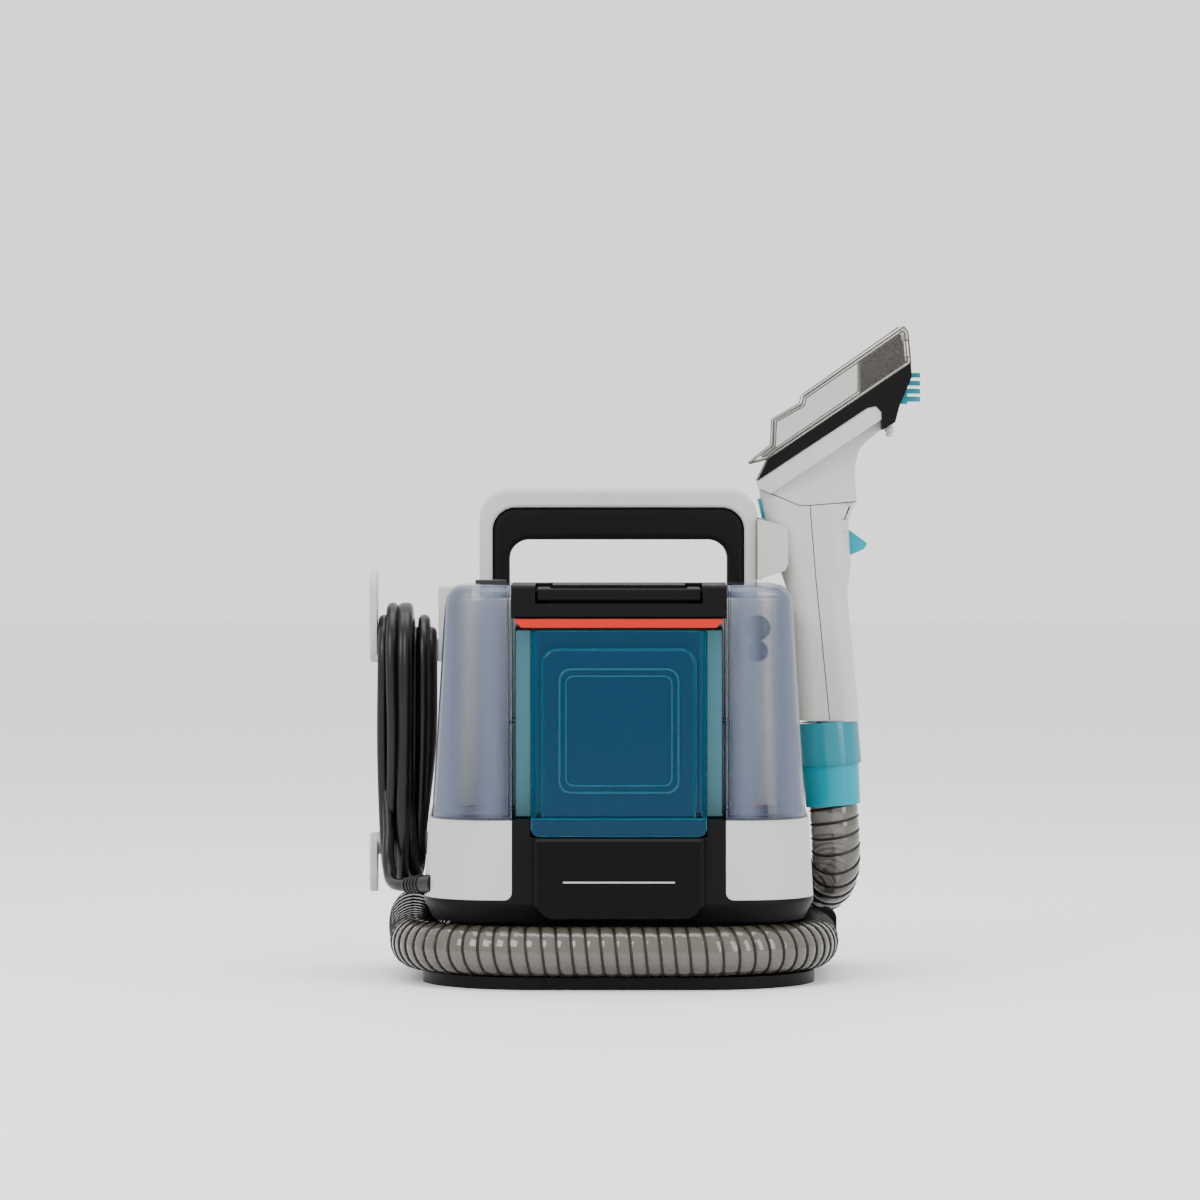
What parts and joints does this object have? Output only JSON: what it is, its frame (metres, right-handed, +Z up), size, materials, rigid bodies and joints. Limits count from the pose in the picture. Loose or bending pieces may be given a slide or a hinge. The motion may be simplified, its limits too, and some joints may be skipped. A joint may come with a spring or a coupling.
{
  "type": "spot extractor",
  "caption": "Portable spot extractor: two lift-off tanks, carry handle, hose wound round the waist and a hand tool with clear suction head clipped to the side.",
  "frame": {"origin": "centre of the base's flat underside", "axes": "+Z up, -Y to the front with the badge panel, +X to the side that carries the hand tool"},
  "size_m": [0.3576, 0.2587, 0.4205],
  "materials": {
    "black_plastic": "satin moulded",
    "gloss_black": "polished",
    "grey_shell": "fine matt texture",
    "grip_rubber": "soft touch",
    "foot_rubber": "matt",
    "clear_tank": "clear with a violet tint",
    "teal_tank": "tinted clear",
    "teal_plastic": "gloss",
    "red_plastic": "satin",
    "hose_wall": "smoky translucent corrugated",
    "cord_black": "satin",
    "steel": "plated",
    "copper_motor": "lacquered windings",
    "window_clear": "clear"
  },
  "bodies": {
    "chassis": {"base_foot": "black_plastic", "base_housing": "black_plastic", "port_seals": "black_plastic", "tank_gauge_plate": "black_plastic", "power_switch": "black_plastic", "motor_case": "black_plastic", "fan_case": "black_plastic", "hose_elbow": "black_plastic", "suction_duct": "black_plastic", "water_pump": "black_plastic", "mains_plug": "black_plastic", "badge_panel": "gloss_black", "side_panel_left": "grey_shell", "side_panel_right": "grey_shell", "tower_front": "grey_shell", "tower_rear": "grey_shell", "handle_shell": "grey_shell", "wand_holster": "grey_shell", "upper_cord_hook": "grey_shell", "lower_cord_hook": "grey_shell", "handle_grip": "grip_rubber", "foot_pads": "foot_rubber", "hose_wrap": "hose_wall", "pump_feed_tube": "hose_wall", "cord_lead": "cord_black", "cord_tail": "cord_black", "cord_hank": "cord_black", "strain_relief": "cord_black", "housing_screws": "steel", "motor_bearings": "steel", "motor_stator": "copper_motor"},
    "impeller_rotor": {"motor_shaft": "steel", "impeller": "grey_shell"},
    "power_button": {"power_button": "teal_plastic"},
    "clean_tank": {"clean_tank_body": "clear_tank", "tank_top_block": "black_plastic", "tank_valve_seat": "black_plastic"},
    "tank_valve": {"tank_valve_poppet": "red_plastic"},
    "fill_plug": {"fill_plug": "foot_rubber"},
    "tank_handle": {"tank_carry_handle": "black_plastic"},
    "release_bar": {"red_release_bar": "red_plastic"},
    "dirty_tank": {"dirty_tank_body": "teal_tank", "dirty_tank_lid": "black_plastic"},
    "float": {"float_ball": "black_plastic"},
    "wand": {"wand_shell_left": "grey_shell", "wand_shell_right": "grey_shell", "wand_duct": "black_plastic", "wand_collar": "teal_tank", "hose_cuff": "teal_plastic", "hose_riser": "hose_wall", "trigger_pin": "steel", "spray_valve": "black_plastic"},
    "trigger": {"trigger": "teal_plastic"},
    "plunger": {"spray_plunger": "grey_shell"},
    "head_button": {"release_button": "teal_plastic"},
    "tool_head": {"tool_head_body": "grey_shell", "tool_head_frame": "black_plastic", "suction_window": "window_clear", "spray_tip": "grey_shell"},
    "brush": {"brush": "teal_plastic"}
  },
  "joints": [
    {"name": "fan_spin", "type": "hinge", "parent": "chassis", "child": "impeller_rotor", "pos_m": [0, 0.05, 0.14], "axis": [0, 0, 1], "continuous": true},
    {"name": "power_press", "type": "slide", "parent": "chassis", "child": "power_button", "axis": [0, 0, -1], "range_m": [0, 0.003], "stiffness_N_per_m": 600},
    {"name": "tank_lift", "type": "slide", "parent": "chassis", "child": "clean_tank", "axis": [0, 0, 1], "range_m": [0, 0.16]},
    {"name": "dirty_tank_slide", "type": "slide", "parent": "clean_tank", "child": "dirty_tank", "axis": [0, -1, 0], "range_m": [0, 0.12]},
    {"name": "tank_handle_fold", "type": "hinge", "parent": "clean_tank", "child": "tank_handle", "pos_m": [0, -0.049, 0.25], "axis": [-1, 0, 0], "range_deg": [0, 90]},
    {"name": "release_bar_press", "type": "slide", "parent": "clean_tank", "child": "release_bar", "axis": [0, 1, 0], "range_m": [0, 0.0025], "stiffness_N_per_m": 800},
    {"name": "fill_plug_pull", "type": "slide", "parent": "clean_tank", "child": "fill_plug", "axis": [0, 0, 1], "range_m": [0, 0.015]},
    {"name": "tank_valve_push", "type": "slide", "parent": "clean_tank", "child": "tank_valve", "axis": [0, 0, 1], "range_m": [0, 0.004], "stiffness_N_per_m": 150, "springref_m": -0.001},
    {"name": "float_rise", "type": "slide", "parent": "dirty_tank", "child": "float", "axis": [0, 0, 1], "range_m": [0, 0.014]},
    {"name": "wand_unclip", "type": "hinge", "parent": "chassis", "child": "wand", "pos_m": [0.1427, 0.045, 0.0726], "axis": [0, 1, 0], "range_deg": [0, 20], "deforming": ["hose_riser"]},
    {"name": "trigger_pull", "type": "hinge", "parent": "wand", "child": "trigger", "pos_m": [0.1415, 0.045, 0.291], "axis": [0, 1, 0], "range_deg": [0, 12], "stiffness_Nm_per_rad": 0.6, "springref_deg": -2.86},
    {"name": "plunger_slide", "type": "slide", "parent": "wand", "child": "plunger", "axis": [-1, 0, 0], "range_m": [0, 0.004]},
    {"name": "head_release_press", "type": "slide", "parent": "wand", "child": "head_button", "axis": [1, 0, 0], "range_m": [0, 0.0025], "stiffness_N_per_m": 500},
    {"name": "tool_head_pull", "type": "slide", "parent": "wand", "child": "tool_head", "axis": [-0.0819, 0, 0.9966], "range_m": [0, 0.05]},
    {"name": "brush_pull", "type": "slide", "parent": "tool_head", "child": "brush", "axis": [1, 0, 0], "range_m": [0, 0.02]}
  ],
  "couplings": [
    {"joint": "plunger_slide", "follows": "trigger_pull", "m_per_rad": 0.0175}
  ]
}
